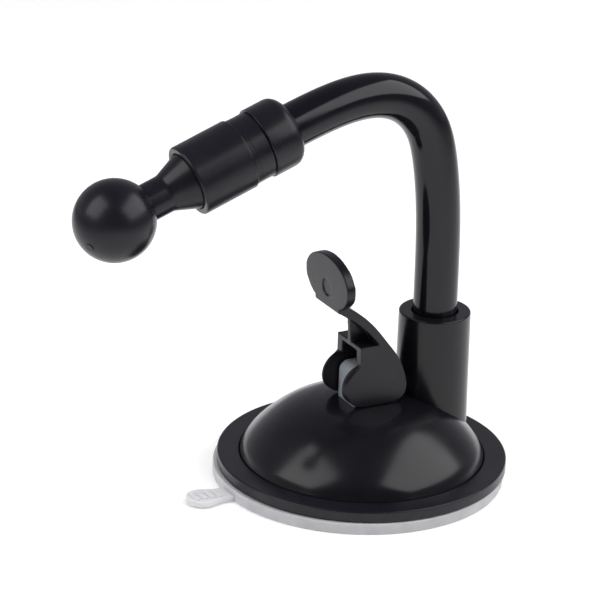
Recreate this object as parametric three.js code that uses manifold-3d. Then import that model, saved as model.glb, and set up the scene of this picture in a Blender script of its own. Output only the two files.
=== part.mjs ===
// Suction-cup mount with a lever lock, a bendable arm and a 17 mm ball head.
// Millimetres, +Z up. The origin is the centre of the dome's footprint on the surface it
// grips. +X points from the lever towards the arm's socket; the object mirrors in the XZ plane.

import * as THREE from "three";
import { mergeVertices } from "three/addons/utils/BufferGeometryUtils.js";
import Module from "manifold-3d";

const wasm = await Module();
wasm.setup();

// ---- Driving dimensions -------------------------------------------------------------

const GAP = 0.3; // between pieces that rest on each other
const OVERSHOOT = 1; // how far a cutter runs past the face that it opens
const ROUND = 48; // sides of the large round pieces
const ROUND_SMALL = 28; // sides of the small round pieces
const ROUND_TINY = 20; // sides of screws, washers and ferrules

const pad = { radius: 31.1, thickness: 2.4, shift: -0.8, edge: 0.3 };
const tab = { rootX: -30, rootHalf: 3.1, waistX: -34, waistHalf: 2.5, curve: 1, thickness: 1.2 };
const tabHead = {
  backX: -37.2, backHalf: 3.35, frontX: -38.8, frontHalf: 3.4, noseX: -41.1, noseHalf: 1.6,
  tipX: -41.6,
};
const tabRibs = {
  count: 4, firstX: -34.9, pitch: -1.7, length: 3.8, width: 1.1, rise: 0.35, slant: 0.1,
};

const rim = {
  radius: 31.07, bottom: 2.55, top: 4.89, hole: 26.25, skirtHole: 29.9, plateBottom: 3.75,
  bevel: 0.35,
};
const foot = { radius: 29.6, bottom: 2.65, top: 3.45 }; // the dome's foot flange, held down by the rim ring
const dome = { wall: 2.2, seatZ: 17.25, seatRadius: 8.2, baseRadius: 25.8 };
const stemSlot = { halfX: 4.6, halfY: 3.95 };

const socket = {
  x: 16.65, top: 34.6, topRadius: 7.67, lowRadius: 7.95, lowZ: 8.6, rootZ: 5.4, bore: 5.25,
  bevel: 0.3,
};
const socketFloorTop = 10.6;

const pin = { x: -0.25, z: 21.0, radius: 1.5, halfLength: 4.6 };
const stem = { halfX: 4.3, halfY: 3.65, top: 25.1, cornerRadius: 2.2, bore: 1.55 };
const plungerDisc = { radius: 12.5, bottom: 2.7, top: 4.6, stemRoot: 4.1 };
const spring = {
  radius: 6.9, wire: 0.45, bottom: 5.2, top: 14.0, turns: 5, stepsPerTurn: 14, wireSides: 6,
};

const lever = {
  halfWidth: 5.22, inner: 4.02, frontX: -4, plateEndX: 2.2, plateBottom: 29.85, plateTop: 31,
  webHalf: 0.6,
};
// Each cheek is thicker under the front of the cross plate.
const frontPost = { depth: 1.5, inner: 3.1, bottom: 27.1 };
const leverPinHole = { radius: 1.6, depth: 0.72, overshoot: 0.5 };
const backStrip = { paddleThickness: 2.1, heelThickness: 1.4, spans: 14 };
const paddle = { frontX: -10.04, z: 45.4, halfY: 9.1, halfZ: 5.8, thickness: 2.0, tilt: -3, footZ: 39.7 };

const sleeve = { radius: 4.71, bore: 2.7, footZ: 20.6, sides: 20, boreSides: 12, steps: 44 };
const core = { radius: 2.35, footZ: 14.2, sides: 10 };
const footFerrule = {
  radius: 4.95, bottom: 10.95, top: 20.2, screwHole: 1.65, coreHole: 2.65,
};
const footScrew = {
  radius: 1.35, top: 13.0, point: 0.6, headRadius: 2.3, headBottom: 6.1, headTop: 7.55,
  headBevel: 0.5,
};
const footWasher = { radius: 2.8, hole: 1.6, bottom: 7.75, top: 8.35 };
const floorHole = 1.8;

// The tip pieces are turned about the arm's last straight stretch. Distances along it are
// counted from the ball's centre towards the arm.
const ball = { x: -58.9, z: 66.1, radius: 8.5, slope: 20.27 };
const neck = { radius: 3.94, end: 11.9 };
const stud = { coneRadius: 5.75, coneEnd: 16.9, flangeRadius: 6.45, flangeStart: 18.75, flangeEnd: 20.7 };
const nut = { start: 17.2, lip: 18.4, lipHole: 6.15, radius: 7.5, bore: 6.75, end: 30.3 };
const nutEdge = { mouthInner: 0.4, mouthOuter: 0.5, bodyEnd: 29.1, waistStart: 29.5, waistRadius: 7.2 };
const tipWasher = { radius: 6.45, hole: 3.0, start: 21.0, end: 21.8 };
const collar = { spigotRadius: 6.4, start: 22.1, shoulder: 30.6, waistEnd: 33.8, waistRadius: 7.05 };
const collarBody = { start: 34.1, radius: 7.5, roundStart: 39.2, sleeveBore: 5.0, sleeveBoreStart: 34.6 };
const collarNose = { middleRadius: 6.68, middle: 40.99, endRadius: 5.3, end: 41.95 };
const tipFerrule = { radius: 3.7, start: 25.2, end: 34.3, bore: 2.65, boreStart: 27.4 };
const ferruleBore = { radius: 4.0, start: 24.9 };
const sleeveEnd = 35.0;
const coreEnd = 27.8;

// The arm's centre line in the XZ plane: straight out of the socket, bent by hand over the
// lever, then straight down the tip's slope.
const armBend = [
  [16.62, 46],
  [16.25, 58.5],
  [14.4, 71.6],
  [12.2, 77.1],
  [8.65, 81.35],
  [3.95, 84.0],
  [-1.25, 84.9],
  [-6.75, 84.45],
  [-12.55, 83.0],
];

// ---- Materials ----------------------------------------------------------------------

function finish(color, roughness, metalness = 0) {
  return new THREE.MeshStandardMaterial({ color, roughness, metalness });
}

const glossBlack = () => finish(0x0c0c0e, 0.15);
const satinBlack = () => finish(0x1b1b1d, 0.55);
const paleGel = () => finish(0xb4b4b8, 0.35);
const whiteNylon = () => finish(0xcfd4d8, 0.45);
const steel = () => finish(0xa8a8a8, 0.3, 1);
const aluminium = () => finish(0xb8b8ba, 0.45, 1);
const blackRubber = () => finish(0x141414, 0.8);

// ---- Solids -------------------------------------------------------------------------

function solidOf(geometry) {
  const bare = geometry.index ? geometry.toNonIndexed() : geometry.clone();
  for (const name of Object.keys(bare.attributes)) {
    if (name !== "position") bare.deleteAttribute(name);
  }
  const merged = mergeVertices(bare, 1e-4);
  return new wasm.Manifold(
    new wasm.Mesh({
      numProp: 3,
      vertProperties: Float32Array.from(merged.attributes.position.array),
      triVerts: Uint32Array.from(merged.index.array),
    }),
  );
}

function geometryOf(solid) {
  const mesh = solid.getMesh();
  const geometry = new THREE.BufferGeometry();
  geometry.setAttribute("position", new THREE.BufferAttribute(Float32Array.from(mesh.vertProperties), 3));
  geometry.setIndex(Array.from(mesh.triVerts));
  geometry.computeVertexNormals();
  return geometry;
}

// A profile of [radius, height] points, counterclockwise, turned about Z.
function turned(profile, sides = ROUND) {
  const points = profile.map(([radius, height]) => new THREE.Vector2(radius, height));
  return new THREE.LatheGeometry(points, sides).rotateX(Math.PI / 2);
}

// A closed ring profile: the first point is repeated at the end.
function turnedRing(profile, sides = ROUND) {
  return turned([...profile, profile[0]], sides);
}

function disc(radius, bottom, top, sides = ROUND) {
  return turned([[0, bottom], [radius, bottom], [radius, top], [0, top]], sides);
}

function tubeSection(radius, hole, bottom, top, sides = ROUND) {
  return turnedRing([[hole, bottom], [radius, bottom], [radius, top], [hole, top]], sides);
}

function block(x0, x1, y0, y1, z0, z1) {
  const geometry = new THREE.BoxGeometry(x1 - x0, y1 - y0, z1 - z0);
  return geometry.translate((x0 + x1) / 2, (y0 + y1) / 2, (z0 + z1) / 2);
}

// An outline drawn in the XZ plane, given thickness from y0 to y1.
function sidePlate(shape, y0, y1, curveSegments = 6) {
  const geometry = new THREE.ExtrudeGeometry(shape, { depth: y1 - y0, bevelEnabled: false, curveSegments });
  return geometry.rotateX(Math.PI / 2).translate(0, y1, 0);
}

function crossCylinder(radius, x, z, y0, y1, sides = 24) {
  const geometry = new THREE.CylinderGeometry(radius, radius, y1 - y0, sides);
  return geometry.translate(x, (y0 + y1) / 2, z);
}

function joined(geometries) {
  return geometries.map(solidOf).reduce((sum, next) => sum.add(next));
}

const group = new THREE.Group();

function piece(parent, name, geometry, material) {
  const mesh = new THREE.Mesh(geometry, material);
  mesh.name = name;
  parent.add(mesh);
}

// ---- Suction pad with its pull tab --------------------------------------------------

function padGeometry() {
  const head = [
    [tabHead.backX, tabHead.backHalf],
    [tabHead.frontX, tabHead.frontHalf],
    [tabHead.noseX, tabHead.noseHalf],
  ];
  const nearSide = head.map(([x, half]) => new THREE.Vector2(x, -half));
  const farSide = head.map(([x, half]) => new THREE.Vector2(x, half)).reverse();
  const outline = new THREE.Shape();
  outline.moveTo(tab.rootX, tab.rootHalf);
  outline.lineTo(tab.rootX, -tab.rootHalf);
  outline.quadraticCurveTo(tab.waistX + tab.curve, -tab.waistHalf, tab.waistX, -tab.waistHalf);
  outline.splineThru([
    ...nearSide,
    new THREE.Vector2(tabHead.tipX, 0),
    ...farSide,
    new THREE.Vector2(tab.waistX, tab.waistHalf),
  ]);
  outline.quadraticCurveTo(tab.waistX + tab.curve, tab.waistHalf, tab.rootX, tab.rootHalf);
  const tongue = new THREE.ExtrudeGeometry(outline, {
    depth: tab.thickness,
    bevelEnabled: false,
    curveSegments: 3,
  });
  const ribs = Array.from({ length: tabRibs.count }, (_, i) => {
    const [halfWidth, halfLength] = [tabRibs.width / 2, tabRibs.length / 2];
    const rib = block(-halfWidth, halfWidth, -halfLength, halfLength, -tab.thickness / 2, tabRibs.rise);
    return rib.rotateZ(tabRibs.slant).translate(tabRibs.firstX + i * tabRibs.pitch, 0, tab.thickness);
  });
  const body = turned([
    [0, 0],
    [pad.radius - pad.edge, 0],
    [pad.radius, pad.edge],
    [pad.radius, pad.thickness - pad.edge],
    [pad.radius - pad.edge, pad.thickness],
    [0, pad.thickness],
  ]);
  return geometryOf(joined([body.translate(pad.shift, 0, 0), tongue, ...ribs]));
}

piece(group, "gel_pad", padGeometry(), paleGel());

// ---- Rim ring -----------------------------------------------------------------------

const rimProfile = [
  [rim.skirtHole, rim.bottom],
  [rim.radius, rim.bottom],
  [rim.radius, rim.top - rim.bevel],
  [rim.radius - rim.bevel, rim.top],
  [rim.hole, rim.top],
  [rim.hole, rim.plateBottom],
  [rim.skirtHole, rim.plateBottom],
];
piece(group, "rim_ring", turnedRing(rimProfile), satinBlack());

// ---- Dome housing with the arm's socket ---------------------------------------------

// Half of the dome's outline, from the foot up to the flat seat that the lever's cams run on.
const domeCurve = new THREE.SplineCurve([
  new THREE.Vector2(dome.baseRadius, rim.top),
  new THREE.Vector2(24.8, 7.1),
  new THREE.Vector2(21.5, 11),
  new THREE.Vector2(16.9, 14.5),
  new THREE.Vector2(12.4, 16.4),
  new THREE.Vector2(dome.seatRadius, dome.seatZ),
]);

function domeGeometry() {
  const outer = domeCurve.getPoints(10).map((p) => [p.x, p.y]);
  const inner = domeCurve.getPoints(6).map((p) => [p.x - dome.wall, p.y - dome.wall]);
  const innerBase = [dome.baseRadius - dome.wall, foot.bottom];
  const skin = turned([
    [0, foot.bottom],
    [foot.radius, foot.bottom],
    [foot.radius, foot.top],
    [dome.baseRadius, foot.top],
    ...outer,
    [0, dome.seatZ],
  ]);
  const post = (bottom) => turned([
    [0, bottom],
    [socket.lowRadius, bottom],
    [socket.topRadius, socket.top - socket.bevel],
    [socket.topRadius - socket.bevel, socket.top],
    [0, socket.top],
  ], ROUND_SMALL + 4).translate(socket.x, 0, 0);
  const hollow = turned([[0, 0], [innerBase[0], 0], innerBase, ...inner, [0, dome.seatZ - dome.wall]]);
  const bore = disc(socket.bore, socketFloorTop, socket.top + OVERSHOOT, ROUND_SMALL);
  const screwHole = disc(floorHole, 0, socketFloorTop + OVERSHOOT, ROUND_TINY);
  const { halfX, halfY } = stemSlot;
  const slot = block(-halfX, halfX, -halfY, halfY, 0, dome.seatZ + OVERSHOOT);
  return geometryOf(
    joined([skin, post(socket.rootZ)])
      .subtract(solidOf(hollow))
      .add(solidOf(post(socket.lowZ)))
      .subtract(solidOf(bore.translate(socket.x, 0, 0)))
      .subtract(solidOf(screwHole.translate(socket.x, 0, 0)))
      .subtract(solidOf(slot)),
  );
}

piece(group, "dome_housing", domeGeometry(), glossBlack());

// ---- Plunger, its spring and the lever's pin ----------------------------------------

function plungerGeometry() {
  const side = new THREE.Shape();
  const r = stem.cornerRadius;
  side.moveTo(-stem.halfX, plungerDisc.stemRoot);
  side.lineTo(stem.halfX, plungerDisc.stemRoot);
  side.lineTo(stem.halfX, stem.top - r);
  side.absarc(stem.halfX - r, stem.top - r, r, 0, Math.PI / 2, false);
  side.absarc(-stem.halfX + r, stem.top - r, r, Math.PI / 2, Math.PI, false);
  side.closePath();
  const plate = disc(plungerDisc.radius, plungerDisc.bottom, plungerDisc.top, ROUND_SMALL);
  const bore = crossCylinder(stem.bore, pin.x, pin.z, -stem.halfY - OVERSHOOT, stem.halfY + OVERSHOOT);
  return geometryOf(joined([plate, sidePlate(side, -stem.halfY, stem.halfY)]).subtract(solidOf(bore)));
}

class HelixCurve extends THREE.Curve {
  getPoint(t, target = new THREE.Vector3()) {
    const angle = t * spring.turns * 2 * Math.PI;
    const height = THREE.MathUtils.lerp(spring.bottom, spring.top, t);
    return target.set(spring.radius * Math.cos(angle), spring.radius * Math.sin(angle), height);
  }
}

function circleShape(radius, sides) {
  const points = Array.from({ length: sides }, (_, i) => {
    const angle = (i / sides) * 2 * Math.PI;
    return new THREE.Vector2(radius * Math.cos(angle), radius * Math.sin(angle));
  });
  return new THREE.Shape(points);
}

const springGeometry = new THREE.ExtrudeGeometry(circleShape(spring.wire, spring.wireSides), {
  steps: spring.turns * spring.stepsPerTurn,
  extrudePath: new HelixCurve(),
});

piece(group, "plunger", plungerGeometry(), whiteNylon());
piece(group, "return_spring", springGeometry, steel());
const pinGeometry = crossCylinder(pin.radius, pin.x, pin.z, -pin.halfLength, pin.halfLength);
piece(group, "lever_pin", pinGeometry, steel());

// ---- Cam lever ----------------------------------------------------------------------

const sidePoints = (points) => points.map(([x, z]) => new THREE.Vector2(x, z));

// Side outlines as [x, z] points. The back runs from the paddle down to the heel, the lobe
// from the box's front down to the cam's flat, and the heel from that flat back up.
const leverBack = [
  [-8.2, 41.4],
  [-3.8, 38.2],
  [-0.9, 35.4],
  [2.0, 31.8],
  [5.3, 27.3],
  [6.75, 23.9],
  [7.45, 21.1],
];
const camLobe = [
  [-5.5, 25.5],
  [-6.8, 23.9],
  [-7.2, 22.2],
  [-7.05, 20.6],
  [-6.3, 19.2],
  [-5.0, 18.05],
  [-3.0, 17.4],
];
const camHeel = [[6.2, 18.0], [7.15, 19.3], [7.45, 21.1]];
const cheekBack = [[6.75, 23.9], [5.3, 27.3], [2.6, lever.plateTop]];
const cheekFrontZ = 27;
const camFlat = { endX: 4.6, z: 17.4 };
const web = [[-4.05, 30.5], [2.4, 30.5], [-0.6, 34.2], [-4.5, 37.0]];

function cheekShape() {
  const shape = new THREE.Shape();
  shape.moveTo(lever.frontX, lever.plateTop);
  shape.lineTo(lever.frontX, cheekFrontZ);
  shape.splineThru(sidePoints(camLobe));
  shape.lineTo(camFlat.endX, camFlat.z);
  shape.splineThru(sidePoints(camHeel));
  shape.splineThru(sidePoints(cheekBack));
  shape.closePath();
  return shape;
}

function backStripShape() {
  const outer = new THREE.SplineCurve(sidePoints(leverBack)).getPoints(backStrip.spans);
  const inner = outer.map((point, i) => {
    const before = outer[Math.max(i - 1, 0)];
    const after = outer[Math.min(i + 1, backStrip.spans)];
    const along = after.clone().sub(before).normalize();
    const { paddleThickness, heelThickness, spans } = backStrip;
    const depth = THREE.MathUtils.lerp(paddleThickness, heelThickness, i / spans);
    return new THREE.Vector2(point.x + along.y * depth, point.y - along.x * depth);
  });
  return new THREE.Shape([...outer, ...inner.reverse()]);
}

// The thumb paddle, drawn in its own plane with its height along Y and its width along X.
function paddleGeometry() {
  const rise = paddle.z - paddle.footZ;
  const shoulder = Math.acos(lever.halfWidth / paddle.halfY);
  const outline = new THREE.Shape();
  outline.moveTo(-lever.halfWidth, -rise);
  outline.lineTo(lever.halfWidth, -rise);
  outline.absellipse(0, 0, paddle.halfY, paddle.halfZ, -shoulder, Math.PI + shoulder, false);
  outline.closePath();
  const plate = new THREE.ExtrudeGeometry(outline, {
    depth: paddle.thickness,
    bevelEnabled: false,
    curveSegments: 26,
  });
  return plate
    .rotateX(Math.PI / 2)
    .rotateZ(-Math.PI / 2)
    .rotateY(THREE.MathUtils.degToRad(paddle.tilt))
    .translate(paddle.frontX + paddle.thickness, 0, paddle.z);
}

function leverGeometry() {
  const w = lever.halfWidth;
  const postEnd = lever.frontX + frontPost.depth;
  const parts = [
    sidePlate(cheekShape(), -w, -lever.inner, 3),
    sidePlate(cheekShape(), lever.inner, w, 3),
    sidePlate(backStripShape(), -w, w),
    block(lever.frontX, lever.plateEndX, -w, w, lever.plateBottom, lever.plateTop),
    block(lever.frontX, postEnd, -w, -frontPost.inner, frontPost.bottom, lever.plateTop),
    block(lever.frontX, postEnd, frontPost.inner, w, frontPost.bottom, lever.plateTop),
    sidePlate(new THREE.Shape(sidePoints(web)), -lever.webHalf, lever.webHalf),
    paddleGeometry(),
  ];
  const holeStart = lever.inner - leverPinHole.overshoot;
  const holeEnd = lever.inner + leverPinHole.depth;
  const pinHoles = [[-holeEnd, -holeStart], [holeStart, holeEnd]]
    .map(([y0, y1]) => solidOf(crossCylinder(leverPinHole.radius, pin.x, pin.z, y0, y1)));
  return geometryOf(pinHoles.reduce((left, hole) => left.subtract(hole), joined(parts)));
}

piece(group, "cam_lever", leverGeometry(), satinBlack());

// ---- Arm ----------------------------------------------------------------------------

const slope = THREE.MathUtils.degToRad(ball.slope);
const alongTip = (distance) => [ball.x + distance * Math.cos(slope), ball.z + distance * Math.sin(slope)];

// The centre line from a height in the socket to a distance before the ball.
function armPath(footHeight, tipDistance) {
  const points = [[socket.x, footHeight], [socket.x, 30], ...armBend, alongTip(43), alongTip(tipDistance)];
  return new THREE.CatmullRomCurve3(points.map(([x, z]) => new THREE.Vector3(x, 0, z)));
}

function sleeveGeometry() {
  const section = circleShape(sleeve.radius, sleeve.sides);
  section.holes.push(new THREE.Path(circleShape(sleeve.bore, sleeve.boreSides).getPoints().reverse()));
  return new THREE.ExtrudeGeometry(section, {
    steps: sleeve.steps,
    extrudePath: armPath(sleeve.footZ, sleeveEnd),
  });
}

const coreGeometry = new THREE.ExtrudeGeometry(circleShape(core.radius, core.sides), {
  steps: sleeve.steps,
  extrudePath: armPath(core.footZ, coreEnd),
});

const ferruleProfile = [
  [footFerrule.screwHole, footFerrule.bottom],
  [footFerrule.radius, footFerrule.bottom],
  [footFerrule.radius, footFerrule.top],
  [footFerrule.coreHole, footFerrule.top],
  [footFerrule.coreHole, core.footZ - GAP],
  [footFerrule.screwHole, core.footZ - GAP],
];
const screwProfile = [
  [0, footScrew.headBottom],
  [footScrew.headRadius - footScrew.headBevel, footScrew.headBottom],
  [footScrew.headRadius, footScrew.headBottom + footScrew.headBevel],
  [footScrew.headRadius, footScrew.headTop],
  [footScrew.radius, footScrew.headTop],
  [footScrew.radius, footScrew.top - footScrew.point],
  [0, footScrew.top],
];

const footWasherGeometry = tubeSection(
  footWasher.radius,
  footWasher.hole,
  footWasher.bottom,
  footWasher.top,
  ROUND_TINY,
);

const footGroup = new THREE.Group();
footGroup.position.set(socket.x, 0, 0);
group.add(footGroup);
piece(footGroup, "foot_ferrule", turnedRing(ferruleProfile, ROUND_SMALL), aluminium());
piece(footGroup, "foot_screw", turned(screwProfile, ROUND_TINY), steel());
piece(footGroup, "foot_washer", footWasherGeometry, steel());
piece(group, "arm_sleeve", sleeveGeometry(), glossBlack());
piece(group, "arm_core", coreGeometry, aluminium());

// ---- Tip: collar, clamp nut and ball stud -------------------------------------------

const tipGroup = new THREE.Group();
tipGroup.position.set(ball.x, 0, ball.z);
tipGroup.rotation.y = Math.PI / 2 - slope;
group.add(tipGroup);

const tipFerruleProfile = [
  [0, tipFerrule.start],
  [tipFerrule.radius, tipFerrule.start],
  [tipFerrule.radius, tipFerrule.end],
  [tipFerrule.bore, tipFerrule.end],
  [tipFerrule.bore, tipFerrule.boreStart],
  [0, tipFerrule.boreStart],
];

const collarProfile = [
  [0, collar.start],
  [collar.spigotRadius, collar.start],
  [collar.spigotRadius, collar.shoulder],
  [collar.waistRadius, collar.shoulder],
  [collar.waistRadius, collar.waistEnd],
  [collarBody.radius, collarBody.start],
  [collarBody.radius, collarBody.roundStart],
  [collarNose.middleRadius, collarNose.middle],
  [collarNose.endRadius, collarNose.end],
  [collarBody.sleeveBore, collarNose.end],
  [collarBody.sleeveBore, collarBody.sleeveBoreStart],
  [ferruleBore.radius, collarBody.sleeveBoreStart],
  [ferruleBore.radius, ferruleBore.start],
  [0, ferruleBore.start],
];

const nutProfile = [
  [nut.lipHole, nut.start + nutEdge.mouthInner],
  [nut.lipHole + nutEdge.mouthInner, nut.start],
  [nut.radius - nutEdge.mouthOuter, nut.start],
  [nut.radius, nut.start + nutEdge.mouthOuter],
  [nut.radius, nutEdge.bodyEnd],
  [nutEdge.waistRadius, nutEdge.waistStart],
  [nutEdge.waistRadius, nut.end],
  [nut.bore, nut.end],
  [nut.bore, nut.lip],
  [nut.lipHole, nut.lip],
];

function studProfile() {
  const neckAngle = Math.asin(neck.radius / ball.radius);
  const rows = 14;
  const ballPoints = Array.from({ length: rows }, (_, i) => {
    const angle = -Math.PI / 2 + (i / (rows - 1)) * (Math.PI - neckAngle);
    return [ball.radius * Math.cos(angle), ball.radius * Math.sin(angle)];
  });
  ballPoints[0][0] = 0;
  return [
    ...ballPoints,
    [neck.radius, neck.end],
    [stud.coneRadius, stud.coneEnd],
    [stud.coneRadius, stud.flangeStart],
    [stud.flangeRadius, stud.flangeStart],
    [stud.flangeRadius, stud.flangeEnd],
    [0, stud.flangeEnd],
  ];
}

const tipWasherGeometry = tubeSection(
  tipWasher.radius,
  tipWasher.hole,
  tipWasher.start,
  tipWasher.end,
  ROUND_SMALL,
);
piece(tipGroup, "tip_ferrule", turned(tipFerruleProfile, ROUND_TINY), aluminium());
piece(tipGroup, "rear_collar", turned(collarProfile, ROUND_SMALL), satinBlack());
piece(tipGroup, "friction_washer", tipWasherGeometry, blackRubber());
piece(tipGroup, "clamp_nut", turnedRing(nutProfile, ROUND_SMALL), satinBlack());
piece(tipGroup, "ball_stud", turned(studProfile(), ROUND_SMALL), satinBlack());

export default group;
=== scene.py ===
import math

import bmesh
import bpy
from mathutils import Matrix, Vector


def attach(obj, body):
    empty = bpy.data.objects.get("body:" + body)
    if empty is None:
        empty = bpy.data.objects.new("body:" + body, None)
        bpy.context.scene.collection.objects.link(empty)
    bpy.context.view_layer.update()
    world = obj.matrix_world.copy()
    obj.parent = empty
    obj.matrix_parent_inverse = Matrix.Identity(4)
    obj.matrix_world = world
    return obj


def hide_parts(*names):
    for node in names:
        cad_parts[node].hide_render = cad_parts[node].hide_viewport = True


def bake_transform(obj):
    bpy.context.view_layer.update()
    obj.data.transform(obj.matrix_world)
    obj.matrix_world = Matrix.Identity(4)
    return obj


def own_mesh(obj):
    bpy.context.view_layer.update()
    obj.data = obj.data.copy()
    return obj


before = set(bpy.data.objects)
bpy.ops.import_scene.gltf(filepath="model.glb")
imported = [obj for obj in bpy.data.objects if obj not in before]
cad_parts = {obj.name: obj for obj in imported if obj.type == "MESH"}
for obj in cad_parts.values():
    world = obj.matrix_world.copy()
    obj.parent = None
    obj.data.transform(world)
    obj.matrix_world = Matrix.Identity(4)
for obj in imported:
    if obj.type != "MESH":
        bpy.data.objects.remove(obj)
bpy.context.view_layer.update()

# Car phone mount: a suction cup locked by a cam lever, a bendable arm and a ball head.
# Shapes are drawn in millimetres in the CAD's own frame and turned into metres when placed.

MM = 0.001
SHARP = math.radians(32)  # an edge that turns more than this is shaded as a crease
BEVEL_ANGLE = 1.0  # the same, in radians, for the edges that bevelled() rounds
SLIVER = 0.002  # a cut leaves no edge shorter than this


# ---- Camera ---------------------------------------------------------------------------

CAMERA = {"azimuth": -28.857, "elevation": 21.831, "roll": 1.862, "lens": 192, "distance": 687.28}
CAMERA_TARGET = (-5.94, 18.64, 33.6)


def direction(azimuth, elevation):
    """Unit vector from the object; azimuth 0 is towards -Y, and elevation is above the floor."""
    a, e = math.radians(azimuth), math.radians(elevation)
    return Vector((math.sin(a) * math.cos(e), -math.cos(a) * math.cos(e), math.sin(e)))


def make_camera():
    back = direction(CAMERA["azimuth"], CAMERA["elevation"])
    camera = bpy.data.objects.new("camera", bpy.data.cameras.new("camera"))
    camera.data.lens = CAMERA["lens"]
    camera.data.sensor_width = 36
    camera.data.clip_start = 0.01
    camera.rotation_mode = "QUATERNION"
    roll = Matrix.Rotation(math.radians(CAMERA["roll"]), 3, "Z")
    turn = (-back).to_track_quat("-Z", "Y").to_matrix() @ roll
    camera.rotation_quaternion = turn.to_quaternion()
    camera.location = (Vector(CAMERA_TARGET) + back * CAMERA["distance"]) * MM
    bpy.context.scene.collection.objects.link(camera)
    bpy.context.scene.camera = camera


make_camera()


# ---- Outlines -------------------------------------------------------------------------

def rounded(points, closed=False, steps=5, support=0.12):
    """An outline of (a, b) or (a, b, radius) corners, with each radius drawn as a short arc."""
    made = []
    last = len(points) - 1
    for i, (a, b, *radius) in enumerate(points):
        here = Vector((a, b))
        if not radius or (not closed and i in (0, last)):
            made.append(here)
            continue
        before = Vector(points[i - 1][:2]) - here
        after = Vector(points[(i + 1) % len(points)][:2]) - here
        u, v = before.normalized(), after.normalized()
        half = u.angle(v) / 2
        reach = radius[0] / math.tan(half)
        centre = here + (u + v).normalized() * radius[0] / math.sin(half)
        start, end = here + u * reach - centre, here + v * reach - centre
        if before.length > reach + 2 * support:
            made.append(here + u * (reach + support))
        made.extend(centre + start.slerp(end, s / steps).normalized() * radius[0] for s in range(steps + 1))
        if after.length > reach + 2 * support:
            made.append(here + v * (reach + support))
    return made


def smooth_curve(points, spans=8):
    """A centripetal Catmull-Rom curve through points, of any dimension."""
    points = [Vector(p) for p in points]
    ends = [2 * points[0] - points[1], *points, 2 * points[-1] - points[-2]]
    made = []
    for p0, p1, p2, p3 in zip(ends, ends[1:], ends[2:], ends[3:]):
        t1 = (p1 - p0).length ** 0.5
        t2 = t1 + (p2 - p1).length ** 0.5
        t3 = t2 + (p3 - p2).length ** 0.5
        for s in range(spans):
            t = t1 + (t2 - t1) * s / spans
            a1 = p0 * (t1 - t) / t1 + p1 * t / t1
            a2 = p1 * (t2 - t) / (t2 - t1) + p2 * (t - t1) / (t2 - t1)
            a3 = p2 * (t3 - t) / (t3 - t2) + p3 * (t - t2) / (t3 - t2)
            b1 = a1 * (t2 - t) / t2 + a2 * t / t2
            b2 = a2 * (t3 - t) / (t3 - t1) + a3 * (t - t1) / (t3 - t1)
            made.append(b1 * (t2 - t) / (t2 - t1) + b2 * (t - t1) / (t2 - t1))
    return [*made, points[-1]]


def arc(start, end, steps=8):
    """Angles in radians from start to end degrees."""
    return [math.radians(start + (end - start) * s / steps) for s in range(steps + 1)]


def slab(radius, low, high, edge=None):
    """The profile of a round slab about Z, with its rims rounded if edge is given."""
    rim = (edge,) if edge else ()
    return rounded([(0, low), (radius, low, *rim), (radius, high, *rim), (0, high)])


def rectangle(half_a, half_b):
    return [(-half_a, -half_b), (half_a, -half_b), (half_a, half_b), (-half_a, half_b)]


# ---- Meshes ---------------------------------------------------------------------------

def object_from(name, mesh_edit):
    """A new object whose mesh is the bmesh's, with its faces pointing out."""
    bmesh.ops.recalc_face_normals(mesh_edit, faces=mesh_edit.faces)
    mesh = bpy.data.meshes.new(name)
    mesh_edit.to_mesh(mesh)
    mesh_edit.free()
    made = bpy.data.objects.new(name, mesh)
    bpy.context.scene.collection.objects.link(made)
    return made


def lathe(name, profile, sides=128, ring=False):
    """(radius, height) points turned about Z. A ring's profile closes on itself."""
    edit = bmesh.new()
    rows = []
    for radius, height in profile:
        if radius < 1e-6:
            rows.append([edit.verts.new((0, 0, height))])
            continue
        angles = (2 * math.pi * s / sides for s in range(sides))
        rows.append([edit.verts.new((radius * math.cos(a), radius * math.sin(a), height)) for a in angles])
    pairs = list(zip(rows, rows[1:]))
    if ring:
        pairs.append((rows[-1], rows[0]))
    for low, high in pairs:
        for s in range(sides):
            n = (s + 1) % sides
            corners = [low[s % len(low)], low[n % len(low)], high[n % len(high)], high[s % len(high)]]
            edit.faces.new(list(dict.fromkeys(corners)))
    return object_from(name, edit)


def prism(name, outline, start, end, plane="XZ"):
    """A closed outline given thickness: along Y in the XZ plane, along Z in the XY plane."""
    edit = bmesh.new()
    upright = plane == "XZ"
    low, high = (
        [edit.verts.new((a, depth, b) if upright else (a, b, depth)) for a, b in outline]
        for depth in (start, end)
    )
    edit.faces.new(low)
    edit.faces.new(high)
    for i in range(len(outline)):
        n = (i + 1) % len(outline)
        edit.faces.new((low[i], low[n], high[n], high[i]))
    return object_from(name, edit)


def sweep(name, path, rings, across=Vector((0, 1, 0)), caps=False):
    """Sections along a path: each ring is a list of (sideways, across) points, outer ring first."""
    edit = bmesh.new()
    sections = []
    for i, here in enumerate(path):
        along = (path[min(i + 1, len(path) - 1)] - path[max(i - 1, 0)]).normalized()
        side = across.cross(along).normalized()
        up = along.cross(side)
        sections.append([[edit.verts.new(here + side * a + up * b) for a, b in ring] for ring in rings])
    for before, after in zip(sections, sections[1:]):
        for low, high in zip(before, after):
            for s in range(len(low)):
                n = (s + 1) % len(low)
                edit.faces.new((low[s], low[n], high[n], high[s]))
    for section in (sections[0], sections[-1]):
        if caps:
            edit.faces.new(section[0])
            continue
        outer, inner = section
        for s in range(len(outer)):
            n = (s + 1) % len(outer)
            edit.faces.new((outer[s], outer[n], inner[n], inner[s]))
    return object_from(name, edit)


def circle(radius, sides):
    angles = (2 * math.pi * s / sides for s in range(sides))
    return [(radius * math.cos(a), radius * math.sin(a)) for a in angles]


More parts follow.
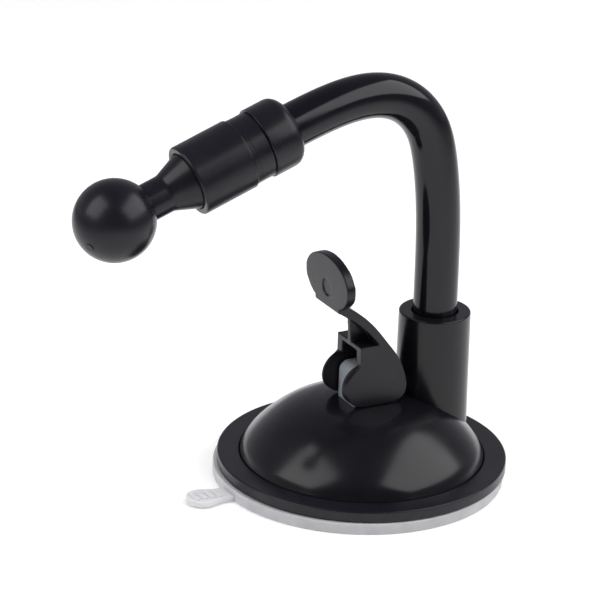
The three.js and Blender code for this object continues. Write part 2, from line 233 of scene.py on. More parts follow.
def modified(obj, kind, **settings):
    """Adds one modifier and applies it to the mesh."""
    modifier = obj.modifiers.new(kind.lower(), kind)
    for key, value in settings.items():
        setattr(modifier, key, value)
    bpy.context.view_layer.update()
    mesh = bpy.data.meshes.new_from_object(obj.evaluated_get(bpy.context.evaluated_depsgraph_get()))
    obj.modifiers.clear()
    obj.data = mesh
    return obj


def bevelled(obj, width, segments=3):
    """Rounds the mesh's sharp edges."""
    limits = {"limit_method": "ANGLE", "angle_limit": BEVEL_ANGLE}
    return modified(obj, "BEVEL", width=width, segments=segments, **limits)


def combine(obj, others, operation):
    """Joins the others to obj, or cuts them out of it, and deletes them."""
    for other in others:
        modified(obj, "BOOLEAN", object=other, operation=operation, solver="EXACT")
        bpy.data.objects.remove(other)
    edit = bmesh.new()
    edit.from_mesh(obj.data)
    bmesh.ops.remove_doubles(edit, verts=edit.verts, dist=SLIVER)
    bmesh.ops.dissolve_degenerate(edit, edges=edit.edges, dist=SLIVER)
    edit.to_mesh(obj.data)
    edit.free()


def moved(obj, matrix):
    obj.data.transform(matrix)
    return obj


def place(obj, body, nodes, material, sharp=SHARP):
    """Turns the mesh into metres, hides the CAD parts that it stands for, puts it on the body it rides on
    and gives it its finish.
    """
    obj.data.transform(Matrix.Scale(MM, 4))
    obj.data.shade_smooth()
    obj.data.set_sharp_from_angle(angle=sharp)
    obj.data.materials.clear()
    obj.data.materials.append(material)
    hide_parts(*nodes)
    if body:
        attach(obj, body)


# ---- Materials ------------------------------------------------------------------------

class Finish:
    """A Principled material with noise-driven colour, roughness and bump."""

    def __init__(self, name, **sockets):
        self.material = bpy.data.materials.new(name)
        self.material.use_nodes = True
        self.tree = self.material.node_tree
        self.shader = self.tree.nodes["Principled BSDF"]
        for key, value in sockets.items():
            self.shader.inputs[key.replace("_", " ")].default_value = value
        self.coordinates = self.tree.nodes.new("ShaderNodeTexCoord").outputs["Object"]
        self.normal = None

    def noise(self, size, detail=3.0, stretch=(1, 1, 1)):
        """Noise with features of about size millimetres."""
        mapping = self.tree.nodes.new("ShaderNodeMapping")
        mapping.inputs["Scale"].default_value = stretch
        texture = self.tree.nodes.new("ShaderNodeTexNoise")
        texture.inputs["Scale"].default_value = 1 / (size * MM)
        texture.inputs["Detail"].default_value = detail
        self.tree.links.new(self.coordinates, mapping.inputs["Vector"])
        self.tree.links.new(mapping.outputs["Vector"], texture.inputs["Vector"])
        return texture.outputs["Fac"]

    def spread(self, value, low, high, start=0.3, end=0.7):
        """Maps a noise value onto low..high."""
        node = self.tree.nodes.new("ShaderNodeMapRange")
        node.inputs["From Min"].default_value = start
        node.inputs["From Max"].default_value = end
        node.inputs["To Min"].default_value = low
        node.inputs["To Max"].default_value = high
        self.tree.links.new(value, node.inputs["Value"])
        return node.outputs["Result"]

    def mixed(self, factor, first, second):
        """Goes from the first colour to the second; each is (r, g, b) or another node's output."""
        mix = self.tree.nodes.new("ShaderNodeMix")
        mix.data_type = "RGBA"
        for key, value in (("A", first), ("B", second)):
            if isinstance(value, tuple):
                mix.inputs[key].default_value = (*value, 1)
            else:
                self.tree.links.new(value, mix.inputs[key])
        self.tree.links.new(factor, mix.inputs["Factor"])
        return mix.outputs["Result"]

    def link(self, value, socket):
        self.tree.links.new(value, self.shader.inputs[socket])

    def roughness(self, value, low, high):
        self.link(self.spread(value, low, high), "Roughness")

    def colour(self, value, dark, light):
        self.link(self.mixed(self.spread(value, 0, 1), dark, light), "Base Color")

    def bump(self, value, height):
        """Height in millimetres between the noise's low and high places."""
        node = self.tree.nodes.new("ShaderNodeBump")
        node.inputs["Distance"].default_value = height * MM
        node.inputs["Strength"].default_value = 1
        self.tree.links.new(value, node.inputs["Height"])
        if self.normal:
            self.tree.links.new(self.normal, node.inputs["Normal"])
        self.normal = node.outputs["Normal"]
        self.link(self.normal, "Normal")


def gloss_black(name, dark, light, smooth, rough):
    """Polished black plastic: faint moulding waves and handling smudges."""
    finish = Finish(name, IOR=1.39)
    finish.colour(finish.noise(9), dark, light)
    finish.roughness(finish.noise(14, 5), smooth, rough)
    finish.bump(finish.noise(6, 2), 0.004)
    return finish.material


def satin_black(name, smooth, rough, grain):
    """Black plastic from a spark-eroded mould: a fine even grain that scatters the light."""
    finish = Finish(name, IOR=1.38)
    finish.colour(finish.noise(7, 4), (0.0068, 0.006, 0.0095), (0.0105, 0.0094, 0.0138))
    finish.roughness(finish.noise(11, 5), smooth, rough)
    finish.bump(finish.noise(0.22, 2), grain)
    return finish.material


def gel():
    """Pale tacky gel: light sinks in and the surface is slightly dusty; the thin tab's glow is painted, as
    a paler base colour.
    """
    finish = Finish("pale_gel", IOR=1.43, Subsurface_Weight=0.6, Subsurface_Scale=0.0025)
    finish.shader.inputs["Subsurface Radius"].default_value = (1.0, 0.95, 1.0)
    cloudy = finish.spread(finish.noise(5, 5), 0, 1)
    thick = finish.mixed(cloudy, (0.43, 0.425, 0.44), (0.52, 0.515, 0.53))
    split = finish.tree.nodes.new("ShaderNodeSeparateXYZ")
    finish.tree.links.new(finish.coordinates, split.inputs["Vector"])
    # painted glow: this mask paints the thin tab paler than the pad, from TAB_START outwards
    tab_glow_mask = finish.spread(split.outputs["X"], 1, 0, TAB_START * MM, (TAB_START + TAB_FADE) * MM)
    finish.link(finish.mixed(tab_glow_mask, thick, (0.64, 0.635, 0.65)), "Base Color")
    finish.roughness(finish.noise(2.2, 4), 0.3, 0.48)
    finish.bump(finish.noise(1.3, 3), 0.006)
    return finish.material


def nylon():
    """Milky white nylon with a blue cast."""
    finish = Finish("white_nylon", IOR=1.53, Subsurface_Weight=0.45, Subsurface_Scale=0.0015)
    finish.shader.inputs["Subsurface Radius"].default_value = (0.9, 1.0, 1.0)
    finish.colour(finish.noise(4, 3), (0.3, 0.325, 0.36), (0.37, 0.395, 0.43))
    finish.roughness(finish.noise(3, 4), 0.34, 0.5)
    finish.bump(finish.noise(0.5, 2), 0.003)
    return finish.material


def metal(name, dark, light, smooth, rough, stretch):
    """Drawn or turned metal: fine scratches along its working direction."""
    finish = Finish(name, Metallic=1.0)
    finish.colour(finish.noise(3, 4), dark, light)
    finish.roughness(finish.noise(0.6, 4, stretch), smooth, rough)
    finish.bump(finish.noise(0.35, 3, stretch), 0.003)
    return finish.material


def rubber():
    """Matt black rubber with a coarse dusty grain."""
    finish = Finish("washer_rubber", IOR=1.5)
    finish.colour(finish.noise(1.5, 4), (0.012, 0.012, 0.012), (0.03, 0.03, 0.029))
    finish.roughness(finish.noise(0.8, 4), 0.7, 0.9)
    finish.bump(finish.noise(0.3, 3), 0.01)
    return finish.material


# The thin tab's colour is painted paler, a painted glow; the change from the pad's colour ends at
# TAB_START.
TAB_START, TAB_FADE = -32.5, 1.5
GLOSS = gloss_black("gloss_black", (0.0052, 0.0047, 0.0068), (0.008, 0.0073, 0.0098), 0.16, 0.25)
SLEEVE = gloss_black("sleeve_black", (0.0052, 0.0048, 0.0075), (0.0078, 0.0072, 0.0105), 0.1, 0.16)
SATIN = satin_black("satin_black", 0.24, 0.34, 0.003)
GEL = gel()
NYLON = nylon()
STEEL = metal("steel", (0.5, 0.5, 0.5), (0.62, 0.62, 0.62), 0.2, 0.34, (1, 1, 0.1))
ALUMINIUM = metal("aluminium", (0.6, 0.6, 0.61), (0.72, 0.72, 0.73), 0.3, 0.45, (0.15, 1, 1))
RUBBER = rubber()


# ---- Suction pad with its pull tab ----------------------------------------------------

PAD = {"radius": 31.1, "thickness": 2.4, "shift": -0.8, "edge": 0.18}
TAB = {"root": -29.5, "tip": -41.6, "thickness": 1.2, "edge": 0.22, "lift": math.radians(2.2)}
TAB_SIDE = [  # (x, y) of one side, from the pad to the tip
    (-29.5, 3.2), (-31.4, 2.75), (-34, 2.5), (-35.8, 2.9), (-37.2, 3.35), (-38.8, 3.4), (-40.2, 2.75),
    (-41.15, 1.5),
]
RIBS = {
    "count": 4, "first": -34.9, "pitch": -1.7, "half_length": 1.35, "half_width": 0.55, "root": -0.5,
    "rise": 0.35, "edge": 0.12, "slant": 0.1,
}


def grip_rib(place_x):
    """A raised bar with round ends, across the tab and a little slanted."""
    half, length = RIBS["half_width"], RIBS["half_length"]
    outline = [(half * math.cos(a), half * math.sin(a) + length) for a in arc(0, 180)]
    outline += [(-x, -y) for x, y in outline]
    rib = bevelled(prism("rib", outline, RIBS["root"], RIBS["rise"], "XY"), RIBS["edge"], 2)
    centre = Matrix.Translation((place_x, 0, TAB["thickness"]))
    return moved(rib, centre @ Matrix.Rotation(RIBS["slant"], 4, "Z"))


def make_pad():
    profile = slab(PAD["radius"], 0, PAD["thickness"], PAD["edge"])
    pad = moved(lathe("gel_pad", profile, sides=192), Matrix.Translation((PAD["shift"], 0, 0)))
    far_side = ((x, -y) for x, y in reversed(TAB_SIDE))
    outline = smooth_curve([*TAB_SIDE, (TAB["tip"], 0), *far_side], 6)
    tongue = bevelled(prism("tongue", outline, 0, TAB["thickness"], "XY"), TAB["edge"])
    ribs = [grip_rib(RIBS["first"] + i * RIBS["pitch"]) for i in range(RIBS["count"])]
    root = Matrix.Translation((TAB["root"], 0, 0))
    lift = root @ Matrix.Rotation(TAB["lift"], 4, "Y") @ root.inverted()
    combine(pad, [moved(part, lift) for part in (tongue, *ribs)], "UNION")
    place(pad, "base", ["gel_pad"], GEL)


# ---- Rim ring -------------------------------------------------------------------------

RIM = {
    "radius": 30.95, "top": 4.89, "bottom": 2.55, "hole": 26.25, "groove": 26.45, "groove_z": 4.7,
    "skirt_hole": 29.9, "plate_bottom": 3.75,
}


def make_rim():
    profile = [
        (RIM["skirt_hole"], RIM["bottom"]),
        (RIM["radius"], RIM["bottom"], 0.12),
        (RIM["radius"], RIM["top"], 0.32),
        (RIM["groove"], RIM["top"], 0.12),
        (RIM["hole"], RIM["groove_z"], 0.1),
        (RIM["hole"], RIM["plate_bottom"]),
        (RIM["skirt_hole"], RIM["plate_bottom"]),
    ]
    ring = lathe("rim_ring", rounded(profile, closed=True), sides=224, ring=True)
    place(ring, "base", ["rim_ring"], SATIN)


# ---- Dome housing with the arm's socket -----------------------------------------------

# (radius, height) from the rim up to the flat seat of the lever's cams.
DOME_CURVE = [(26.12, 4.89), (25.05, 7.15), (21.55, 11), (16.9, 14.5), (12.4, 16.4), (8.2, 17.25)]
DOME = {"wall": 2.2, "seat": 17.25, "foot": 29.6, "foot_bottom": 2.65, "foot_top": 3.45}
SOCKET = {
    "x": 16.65, "top": 34.6, "top_radius": 7.67, "low_radius": 7.95, "edge": 0.35, "bore": 5.02,
    "bore_edge": 0.12, "floor": 10.6, "foot": 8.6, "dome_foot": 5.4, "screw_hole": 1.8,
}
STEM_SLOT = {"half_x": 4.6, "half_y": 3.95}
PAST = 1  # how far a cutter runs past the face that it opens


def at_socket(obj):
    return moved(obj, Matrix.Translation((SOCKET["x"], 0, 0)))


def socket_post(bottom):
    """The arm's round socket, solid, from a height inside the dome."""
    profile = [(0, bottom), (SOCKET["low_radius"], bottom)]
    profile += [(SOCKET["top_radius"], SOCKET["top"], SOCKET["edge"]), (0, SOCKET["top"])]
    return at_socket(lathe("post", rounded(profile)))


def dome_hollow(curve):
    """The space under the shell, one wall inside its outer curve."""
    wall, base = DOME["wall"], DOME_CURVE[0][0]
    inner = [(0, 0), (base - wall, 0), (base - wall, DOME["foot_bottom"])]
    inner += [(r - wall, z - wall) for r, z in curve[::3]]
    return lathe("hollow", [*inner, (0, DOME["seat"] - wall)])


def socket_bore():
    top, bore, edge = SOCKET["top"], SOCKET["bore"], SOCKET["bore_edge"]
    profile = [(0, SOCKET["floor"]), (bore, SOCKET["floor"]), (bore, top - edge)]
    profile += [(bore + edge, top), (bore + edge, top + PAST), (0, top + PAST)]
    return at_socket(lathe("bore", profile))


def make_dome():
    """A turned shell; the socket's foot is cut away with the hollow, then put back as its floor."""
    curve = [tuple(p) for p in smooth_curve(DOME_CURVE, 9)]
    foot, bottom, top = DOME["foot"], DOME["foot_bottom"], DOME["foot_top"]
    profile = [(0, bottom), (foot, bottom), (foot, top), (DOME_CURVE[0][0], top), *curve, (0, DOME["seat"])]
    dome = lathe("dome_housing", profile, sides=192)
    screw_hole = lathe("screw_hole", slab(SOCKET["screw_hole"], 0, SOCKET["floor"] + PAST), sides=48)
    opening = rectangle(STEM_SLOT["half_x"], STEM_SLOT["half_y"])
    stem_slot = prism("slot", opening, 0, DOME["seat"] + PAST, "XY")
    combine(dome, [socket_post(SOCKET["dome_foot"])], "UNION")
    combine(dome, [dome_hollow(curve)], "DIFFERENCE")
    combine(dome, [socket_post(SOCKET["foot"])], "UNION")
    combine(dome, [socket_bore(), at_socket(screw_hole), stem_slot], "DIFFERENCE")
    place(dome, "base", ["dome_housing"], GLOSS)


# ---- Plunger, spring and pin ----------------------------------------------------------

STEM = {"half_x": 4.3, "half_y": 3.65, "top": 25.1, "corner": 2.2, "root": 4.1, "edge": 0.35, "bore": 1.55}
DISC = {"radius": 12.5, "bottom": 2.7, "top": 4.6, "edge": 0.3}
PIN = {"x": -0.25, "z": 21.0, "radius": 1.5, "half_length": 4.6, "edge": 0.25}
SPRING = {
    "radius": 6.9, "wire": 0.45, "bottom": 5.2, "top": 14.0, "turns": 5, "steps": 48, "flat_ends": 0.55,
}


def cross_pin(name, radius, half_length, edge=None):
    """A cylinder along Y on the lever's axis."""
    cylinder = lathe(name, slab(radius, -half_length, half_length, edge), sides=64)
    turn = Matrix.Rotation(math.pi / 2, 4, "X")
    return moved(cylinder, Matrix.Translation((PIN["x"], 0, PIN["z"])) @ turn)


def make_plunger():
    x, y, root, top, corner = (STEM[key] for key in ("half_x", "half_y", "root", "top", "corner"))
    outline = rounded([(-x, root), (x, root), (x, top, corner), (-x, top, corner)], closed=True, steps=14)
    stem = bevelled(prism("plunger", outline, -y, y), STEM["edge"])
    disc = lathe("disc", slab(DISC["radius"], DISC["bottom"], DISC["top"], DISC["edge"]), sides=96)
    combine(stem, [disc], "UNION")
    combine(stem, [cross_pin("bore", STEM["bore"], y + PAST)], "DIFFERENCE")
    place(stem, "plunger_body", ["plunger"], NYLON)


def make_spring():
    """A coil whose turns close up towards both ends."""
    count = SPRING["turns"] * SPRING["steps"]
    radius, bottom, height = SPRING["radius"], SPRING["bottom"], SPRING["top"] - SPRING["bottom"]
    path = []
    for i in range(count + 1):
        t = i / count
        angle = t * SPRING["turns"] * 2 * math.pi
        rise = t - SPRING["flat_ends"] * math.sin(2 * math.pi * t) / (2 * math.pi)
        path.append(Vector((radius * math.cos(angle), radius * math.sin(angle), bottom + height * rise)))
    wire = sweep("return_spring", path, [circle(SPRING["wire"], sides=14)], Vector((0, 0, 1)), caps=True)
    place(wire, "base", ["return_spring"], STEEL)
    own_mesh(wire)


def make_pin():
    pin = cross_pin("lever_pin", PIN["radius"], PIN["half_length"], PIN["edge"])
    place(pin, "plunger_body", ["lever_pin"], STEEL)


# ---- Cam lever ------------------------------------------------------------------------

LEVER = {
    "half_width": 5.22, "inner": 4.02, "lip": 4.65, "front": -4.0, "plate_end": 2.2, "plate_bottom": 29.85,
    "plate_top": 31, "web_half": 0.6, "paddle_end_thickness": 2.1, "heel_thickness": 1.4,
}
# Side outlines are (x, z); the lobe runs down the front and the heel up the back.
BACK = [(-8.2, 41.4), (-3.8, 38.2), (-0.9, 35.4), (2.0, 31.8), (5.3, 27.3), (6.75, 23.9), (7.45, 21.1)]
LOBE = [
    (-4.0, 27.0), (-5.5, 25.5), (-6.8, 23.9), (-7.2, 22.2), (-7.05, 20.6), (-6.3, 19.2), (-5.0, 18.05),
    (-3.0, 17.4),
]
LIP = [
    (-4.0, 27.0), (-5.95, 25.95), (-7.35, 24.2), (-7.85, 22.3), (-7.55, 20.5), (-6.45, 19.1), (-4.9, 18.1),
    (-3.0, 17.4),
]
LIP_STEPS = 4
POST = {"depth": 1.5, "inner": 3.1, "bottom": 27.1}
HEEL = [(4.6, 17.4), (6.2, 18.0), (7.15, 19.3), (7.45, 21.1)]
WEB = [(-4.05, 30.5), (2.4, 30.5), (-0.6, 34.2), (-4.5, 37.0)]
PADDLE = {
    "front": -10.04, "z": 45.4, "half_y": 9.1, "half_z": 5.8, "thickness": 2.0, "tilt": -3, "foot": 39.7,
}
PADDLE_MARK = {"radius": 1.9, "depth": 0.3, "drop": -1.4}
PIN_HOLE = {"radius": 1.6, "half_depth": 0.61, "centre": 4.13}
SKIN = {"voxel": 0.14, "smooth": 0.5, "passes": 5, "keep": 0.55, "sharp": math.radians(60)}


def cheek(y0, y1):
    back = [p for p in smooth_curve(BACK, 10) if p.y < LEVER["plate_top"]]
    front = [Vector((LEVER["front"], LEVER["plate_top"])), *smooth_curve(LOBE)]
    return prism("cheek", [*front, *smooth_curve(HEEL), *reversed(back[:-1])], y0, y1)


def lips():
    """The lobes' inner lips: thin layers stepped out to a bevel, which the remesh smooths."""
    made = []
    for i in range(LIP_STEPS):
        outside = LEVER["lip"] + (LEVER["half_width"] - LEVER["lip"]) * i / LIP_STEPS
        lobe = smooth_curve([Vector(a).lerp(Vector(b), 1 - i / LIP_STEPS) for a, b in zip(LOBE, LIP)])
        made += [prism("lip", lobe, side * LEVER["inner"], side * outside) for side in (-1, 1)]
    return made


def corner_posts():
    """The cheeks are thicker where they carry the cross plate's front."""
    front, top = LEVER["front"], LEVER["plate_top"]
    sides = [(side * POST["inner"], side * LEVER["half_width"]) for side in (-1, 1)]
    return [block(front, front + POST["depth"], y0, y1, POST["bottom"], top) for y0, y1 in sides]


def join(obj, others):
    """Adds the others' faces to obj's as they are; a remesh then makes them one skin."""
    edit = bmesh.new()
    for part in (obj, *others):
        edit.from_mesh(part.data)
    edit.to_mesh(obj.data)
    edit.free()
    for other in others:
        bpy.data.objects.remove(other)


def back_strip():
    outer = smooth_curve(BACK, 10)
    thick, thin = LEVER["paddle_end_thickness"], LEVER["heel_thickness"]
    inner = []
    for i, here in enumerate(outer):
        along = (outer[min(i + 1, len(outer) - 1)] - outer[max(i - 1, 0)]).normalized()
        depth = thick + (thin - thick) * i / (len(outer) - 1)
        inner.append(here + Vector((along.y, -along.x)) * depth)
    return prism("strip", [*outer, *reversed(inner)], -LEVER["half_width"], LEVER["half_width"])


def paddle():
    """An oval thumb plate that is flush with the strip at its foot, with a shallow round mark."""
    w, half_y, half_z = LEVER["half_width"], PADDLE["half_y"], PADDLE["half_z"]
    rise = PADDLE["z"] - PADDLE["foot"]
    shoulder = math.degrees(math.acos(w / half_y))
    angles = arc(-shoulder, 180 + shoulder, 72)
    outline = [(-w, -rise), (w, -rise), *((half_y * math.cos(a), half_z * math.sin(a)) for a in angles)]
    plate = prism("paddle", outline, 0, PADDLE["thickness"], "XY")
    mark = lathe("mark", slab(PADDLE_MARK["radius"], -PAST, PADDLE_MARK["depth"]), sides=48)
    combine(plate, [moved(mark, Matrix.Translation((0, PADDLE_MARK["drop"], 0)))], "DIFFERENCE")
    # Drawn flat: its width goes to Y, its height to Z and its thickness to X.
    stand = Matrix(((0, 0, 1, 0), (1, 0, 0, 0), (0, 1, 0, 0), (0, 0, 0, 1)))
    tilt = Matrix.Rotation(math.radians(PADDLE["tilt"]), 4, "Y")
    return moved(plate, Matrix.Translation((PADDLE["front"], 0, PADDLE["z"])) @ tilt @ stand)


def block(x0, x1, y0, y1, z0, z1):
    return prism("block", [(x0, z0), (x1, z0), (x1, z1), (x0, z1)], y0, y1)


def make_lever():
    """Joined parts under one smoothed skin, which rounds the inside corners as a mould does."""
    w, inner, web_half = LEVER["half_width"], LEVER["inner"], LEVER["web_half"]
    lever = cheek(-w, -inner)
    lever.name = "cam_lever"
    plate = block(LEVER["front"], LEVER["plate_end"], -w, w, LEVER["plate_bottom"], LEVER["plate_top"])
    web = prism("web", WEB, -web_half, web_half)
    combine(lever, [cheek(inner, w), back_strip(), plate, web, paddle()], "UNION")
    holes = []
    for side in (-1, 1):
        hole = cross_pin("hole", PIN_HOLE["radius"], PIN_HOLE["half_depth"])
        holes.append(moved(hole, Matrix.Translation((0, side * PIN_HOLE["centre"], 0))))
    combine(lever, holes, "DIFFERENCE")
    join(lever, [*lips(), *corner_posts()])
    modified(lever, "REMESH", mode="VOXEL", voxel_size=SKIN["voxel"])
    modified(lever, "SMOOTH", factor=SKIN["smooth"], iterations=SKIN["passes"])
    modified(lever, "DECIMATE", ratio=SKIN["keep"])
    place(lever, "lever_body", ["cam_lever"], SATIN, SKIN["sharp"])


# ---- Arm ------------------------------------------------------------------------------

BALL = {"x": -58.9, "z": 66.1, "radius": 8.5, "slope": math.radians(20.27)}
GATE = {"azimuth": -64, "elevation": -25, "radius": 0.95, "rise": 0.12, "edge": 0.1}
BEND = [  # (x, z) of the hand-made bend, from the socket to the tip
    (16.62, 46), (16.25, 58.5), (14.4, 71.6), (12.2, 77.1), (8.65, 81.35), (3.95, 84.0), (-1.25, 84.9),
    (-6.75, 84.45), (-12.55, 83.0),
]
STRAIGHT = {"up_to": 30, "from_ball": 43}  # a height, and a distance along the tip
SLEEVE_TUBE = {"radius": 4.71, "bore": 2.7, "foot": 20.6, "end": 35.0}
CORE = {"radius": 2.35, "foot": 14.2, "end": 27.8}
EVENING_PASSES = 160
# The foot's fittings, as (radius, height, corner radius).
FOOT_FERRULE = [
    (1.65, 10.95), (4.95, 10.95, 0.3), (4.95, 20.2, 0.3), (2.65, 20.2, 0.15), (2.65, 13.9), (1.65, 13.9),
]
FOOT_WASHER = [(1.6, 7.75, 0.05), (2.8, 7.75, 0.1), (2.8, 8.35, 0.1), (1.6, 8.35, 0.05)]
FOOT_SCREW = [
    (0, 6.1), (2.3, 6.1, 0.5), (2.3, 7.55, 0.1), (1.35, 7.55, 0.08), (1.35, 12.4, 0.1), (0.3, 13.0),
    (0, 13.0),
]


def along_tip(distance):
    """The (x, z) point at a distance from the ball's centre along the tip's slope."""
    return (BALL["x"] + distance * math.cos(BALL["slope"]), BALL["z"] + distance * math.sin(BALL["slope"]))


def arm_path(foot, end):
    """The arm's centre line, evened out so that reflections run along it without a kink."""
    start = [(SOCKET["x"], foot), (SOCKET["x"], STRAIGHT["up_to"])]
    points = [*start, *BEND, along_tip(STRAIGHT["from_ball"]), along_tip(end)]
    path = [Vector((x, 0, z)) for x, z in smooth_curve(points, 24)]
    for _ in range(EVENING_PASSES):
        path[1:-1] = [(a + 2 * b + c) / 4 for a, b, c in zip(path, path[1:], path[2:])]
    return path


def bent(obj, nodes, material):
    place(obj, None, nodes, material)
    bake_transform(obj)


def make_sleeve():
    rings = [circle(SLEEVE_TUBE[key], sides=64) for key in ("radius", "bore")]
    tube = sweep("arm_sleeve", arm_path(SLEEVE_TUBE["foot"], SLEEVE_TUBE["end"]), rings)
    bent(tube, ["arm_sleeve"], SLEEVE)


def make_core():
    section = circle(CORE["radius"], sides=32)
    wire = sweep("arm_core", arm_path(CORE["foot"], CORE["end"]), [section], caps=True)
    bent(wire, ["arm_core"], ALUMINIUM)


def make_foot_fittings():
    ferrule = lathe("foot_ferrule", rounded(FOOT_FERRULE, closed=True), sides=96, ring=True)
    washer = lathe("foot_washer", rounded(FOOT_WASHER, closed=True), sides=64, ring=True)
    screw = lathe("foot_screw", rounded(FOOT_SCREW), sides=64)
    place(at_socket(ferrule), "arm", ["foot_ferrule"], ALUMINIUM)
    place(at_socket(washer), "arm", ["foot_washer"], STEEL)
    place(at_socket(screw), "arm", ["foot_screw"], STEEL)


# ---- Tip: ball stud, clamp nut, washer, collar and ferrule ----------------------------

# Profiles are (radius, distance from the ball's centre towards the arm, corner radius), and
# TIP turns them from Z to the tip's slope.
TIP = Matrix.Translation((BALL["x"], 0, BALL["z"])) @ Matrix.Rotation(math.pi / 2 - BALL["slope"], 4, "Y")
NECK = 3.94
STUD_STEM = [
    (NECK, 11.9, 2.5), (6.02, 17.15, 0.3), (6.02, 18.75), (6.45, 18.75, 0.1), (6.45, 20.7, 0.1), (0, 20.7),
]
NUT = [
    (6.15, 17.2, 0.3), (7.5, 17.2, 0.4), (7.5, 29.3, 0.15), (7.15, 29.6, 0.1), (7.15, 30.45, 0.03),
    (6.75, 30.45, 0.03), (6.75, 18.4), (6.15, 18.4),
]
COLLAR_FRONT = [
    (0, 22.1), (6.4, 22.1, 0.2), (6.4, 30.5), (7.1, 30.5, 0.03), (7.1, 33.75), (6.8, 33.8), (6.8, 34.0),
    (7.5, 34.05, 0.15),
]
COLLAR_NOSE = [(7.5, 38.9), (7.36, 39.7), (6.85, 40.55), (6.1, 41.2), (5.3, 41.6)]
COLLAR_BORE = [(5.0, 41.65), (5.0, 34.6), (4.0, 34.6), (4.0, 24.9), (0, 24.9)]
TIP_FERRULE = [(0, 25.2), (3.7, 25.2, 0.2), (3.7, 34.3, 0.2), (2.65, 34.3, 0.1), (2.65, 27.4), (0, 27.4)]
TIP_WASHER = [(3.0, 21.0, 0.1), (6.45, 21.0, 0.15), (6.45, 21.8, 0.15), (3.0, 21.8, 0.1)]


def tip_piece(name, profile, body, material, ring=False):
    made = moved(lathe(name, profile, ring=ring), TIP)
    place(made, body, [name], material)


def gate_mark():
    """The low round stub that the mould's inlet leaves on the ball."""
    stub = lathe("gate", slab(GATE["radius"], -PAST, GATE["rise"], GATE["edge"]), sides=40)
    spot = direction(GATE["azimuth"], GATE["elevation"])
    centre = Matrix.Translation(Vector((BALL["x"], 0, BALL["z"])) + spot * BALL["radius"])
    return moved(stub, centre @ spot.to_track_quat("Z", "Y").to_matrix().to_4x4())


def make_stud():
    radius = BALL["radius"]
    reach = math.degrees(math.acos(NECK / radius))
    ball = [(radius * math.cos(a), radius * math.sin(a)) for a in arc(-90, reach, 60)]
    ball[0] = (0, -radius)
    stud = moved(lathe("ball_stud", ball[:-1] + rounded([ball[-1], *STUD_STEM])), TIP)
    combine(stud, [gate_mark()], "UNION")
    place(stud, "arm_tip", ["ball_stud"], SATIN)


def make_nut():
    tip_piece("clamp_nut", rounded(NUT, closed=True), "nut_body", SATIN, ring=True)


def make_collar():
    nose = [tuple(p) for p in smooth_curve(COLLAR_NOSE, 5)]
    profile = rounded([*COLLAR_FRONT, nose[0]]) + nose[1:] + COLLAR_BORE
    tip_piece("rear_collar", profile, "arm_tip", SATIN)


def make_tip_fittings():
    washer = rounded(TIP_WASHER, closed=True)
    tip_piece("tip_ferrule", rounded(TIP_FERRULE), "arm_tip", ALUMINIUM)
    tip_piece("friction_washer", washer, "arm_tip", RUBBER, ring=True)


# ---- Studio ---------------------------------------------------------------------------

SOFTBOXES = [
    {"name": "right", "azimuth": 50, "elevation": 45, "distance": 0.6, "size": (0.76, 0.46), "power": 2.9},
    {"name": "left", "azimuth": -95, "elevation": 41, "distance": 0.6, "size": (0.42, 0.47), "power": 1.6},
]
CEILING = {"azimuth": 0, "elevation": 90, "distance": 1.5, "size": (1.6, 1.6), "power": 14}
BACKDROP = [(0.0, 0.5), (0.25, 0.34), (0.73, 0.2), (1.0, 0.12)]  # (place from below to above, grey)
BACKDROP_TINT = (0.97, 0.97, 1.06)
DIM_FRONT = {"From Min": -0.6, "From Max": 0.5, "To Min": 0.3, "To Max": 1.0}  # strength along Y
# The paper's outline is in millimetres; its oval and the distance behind are in metres.
PAPER = {
    "half_side": 4000, "bottom": -20, "top": -0.05, "white": (0.84, 0.84, 0.84),
    "painted_shade": (0.28, 0.28, 0.285), "glow": 0.25, "oval": (0.22, 0.5, 1), "behind": 0.2,
    "fade_start": 0.75, "fade_end": 1.7, "grain": 0.05, "grain_size": 60,
}


def make_softbox(name, azimuth, elevation, distance, size, power, fill=False):
    """An area light that faces the object; glossy surfaces don't mirror a fill."""
    light = bpy.data.lights.new(name, "AREA")
    light.shape = "RECTANGLE"
    light.size, light.size_y = size
    light.energy = power
    lamp = bpy.data.objects.new("softbox_" + name, light)
    lamp.location = direction(azimuth, elevation) * distance
    lamp.rotation_mode = "QUATERNION"
    lamp.rotation_quaternion = (-direction(azimuth, elevation)).to_track_quat("-Z", "Y")
    lamp.visible_glossy = not fill
    bpy.context.scene.collection.objects.link(lamp)


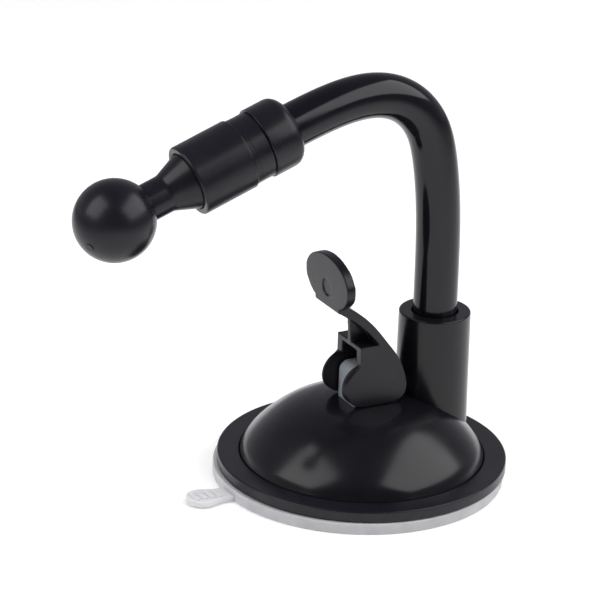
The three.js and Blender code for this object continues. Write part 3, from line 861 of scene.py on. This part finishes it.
def make_world():
    """A pale backdrop that darkens towards the studio's ceiling and its dim front."""
    world = bpy.data.worlds.new("studio")
    world.use_nodes = True
    tree = world.node_tree
    coordinates = tree.nodes.new("ShaderNodeTexCoord")
    split = tree.nodes.new("ShaderNodeSeparateXYZ")
    ramp = tree.nodes.new("ShaderNodeValToRGB")
    for i, (position, grey) in enumerate(BACKDROP):
        element = ramp.color_ramp.elements[i] if i < 2 else ramp.color_ramp.elements.new(position)
        element.position = position
        element.color = (*(grey * tint for tint in BACKDROP_TINT), 1)
    tree.links.new(coordinates.outputs["Generated"], split.inputs["Vector"])
    tree.links.new(split.outputs["Z"], ramp.inputs["Fac"])
    depth = tree.nodes.new("ShaderNodeMapRange")
    for key, value in DIM_FRONT.items():
        depth.inputs[key].default_value = value
    tree.links.new(split.outputs["Y"], depth.inputs["Value"])
    tree.links.new(depth.outputs["Result"], tree.nodes["Background"].inputs["Strength"])
    tree.links.new(ramp.outputs["Color"], tree.nodes["Background"].inputs["Color"])
    bpy.context.scene.world = world


def paper_finish():
    """White near the object, with painted shade outside an oval that reaches furthest behind it; the glow
    takes the same colour, so the white oval is a painted pool of light.
    """
    finish = Finish("studio_paper", Roughness=0.95, Specular_IOR_Level=0.0, Emission_Strength=PAPER["glow"])
    tree = finish.tree
    oval = tree.nodes.new("ShaderNodeMapping")
    oval.vector_type = "TEXTURE"
    oval.inputs["Location"].default_value = -direction(CAMERA["azimuth"], 0) * PAPER["behind"]
    oval.inputs["Rotation"].default_value = (0, 0, math.radians(CAMERA["azimuth"]))
    oval.inputs["Scale"].default_value = PAPER["oval"]
    reach = tree.nodes.new("ShaderNodeVectorMath")
    reach.operation = "LENGTH"
    tree.links.new(finish.coordinates, oval.inputs["Vector"])
    tree.links.new(oval.outputs["Vector"], reach.inputs[0])
    # this noise only roughens the edge of the painted shade
    grain = tree.nodes.new("ShaderNodeMath")
    grain.operation = "MULTIPLY_ADD"
    grain.inputs[1].default_value = PAPER["grain"]
    tree.links.new(finish.noise(PAPER["grain_size"], 2), grain.inputs[0])
    tree.links.new(reach.outputs["Value"], grain.inputs[2])
    # painted shade outside the oval and a painted pool of light inside it, in both the colour and the glow
    shaded = finish.spread(grain.outputs["Value"], 0, 1, PAPER["fade_start"], PAPER["fade_end"])
    colour = finish.mixed(shaded, PAPER["white"], PAPER["painted_shade"])
    finish.link(colour, "Base Color")
    finish.link(colour, "Emission Color")
    return finish.material


def make_floor():
    outline = rectangle(PAPER["half_side"], PAPER["half_side"])
    floor = moved(prism("studio_floor", outline, PAPER["bottom"], PAPER["top"], "XY"), Matrix.Scale(MM, 4))
    floor.data.materials.append(paper_finish())


make_pad()
make_rim()
make_dome()
make_plunger()
make_spring()
make_pin()
make_lever()
make_sleeve()
make_core()
make_foot_fittings()
make_stud()
make_nut()
make_collar()
make_tip_fittings()
make_floor()
make_world()
for box in SOFTBOXES:
    make_softbox(**box)
make_softbox("ceiling", **CEILING, fill=True)
bpy.context.scene.view_settings.view_transform = "Standard"
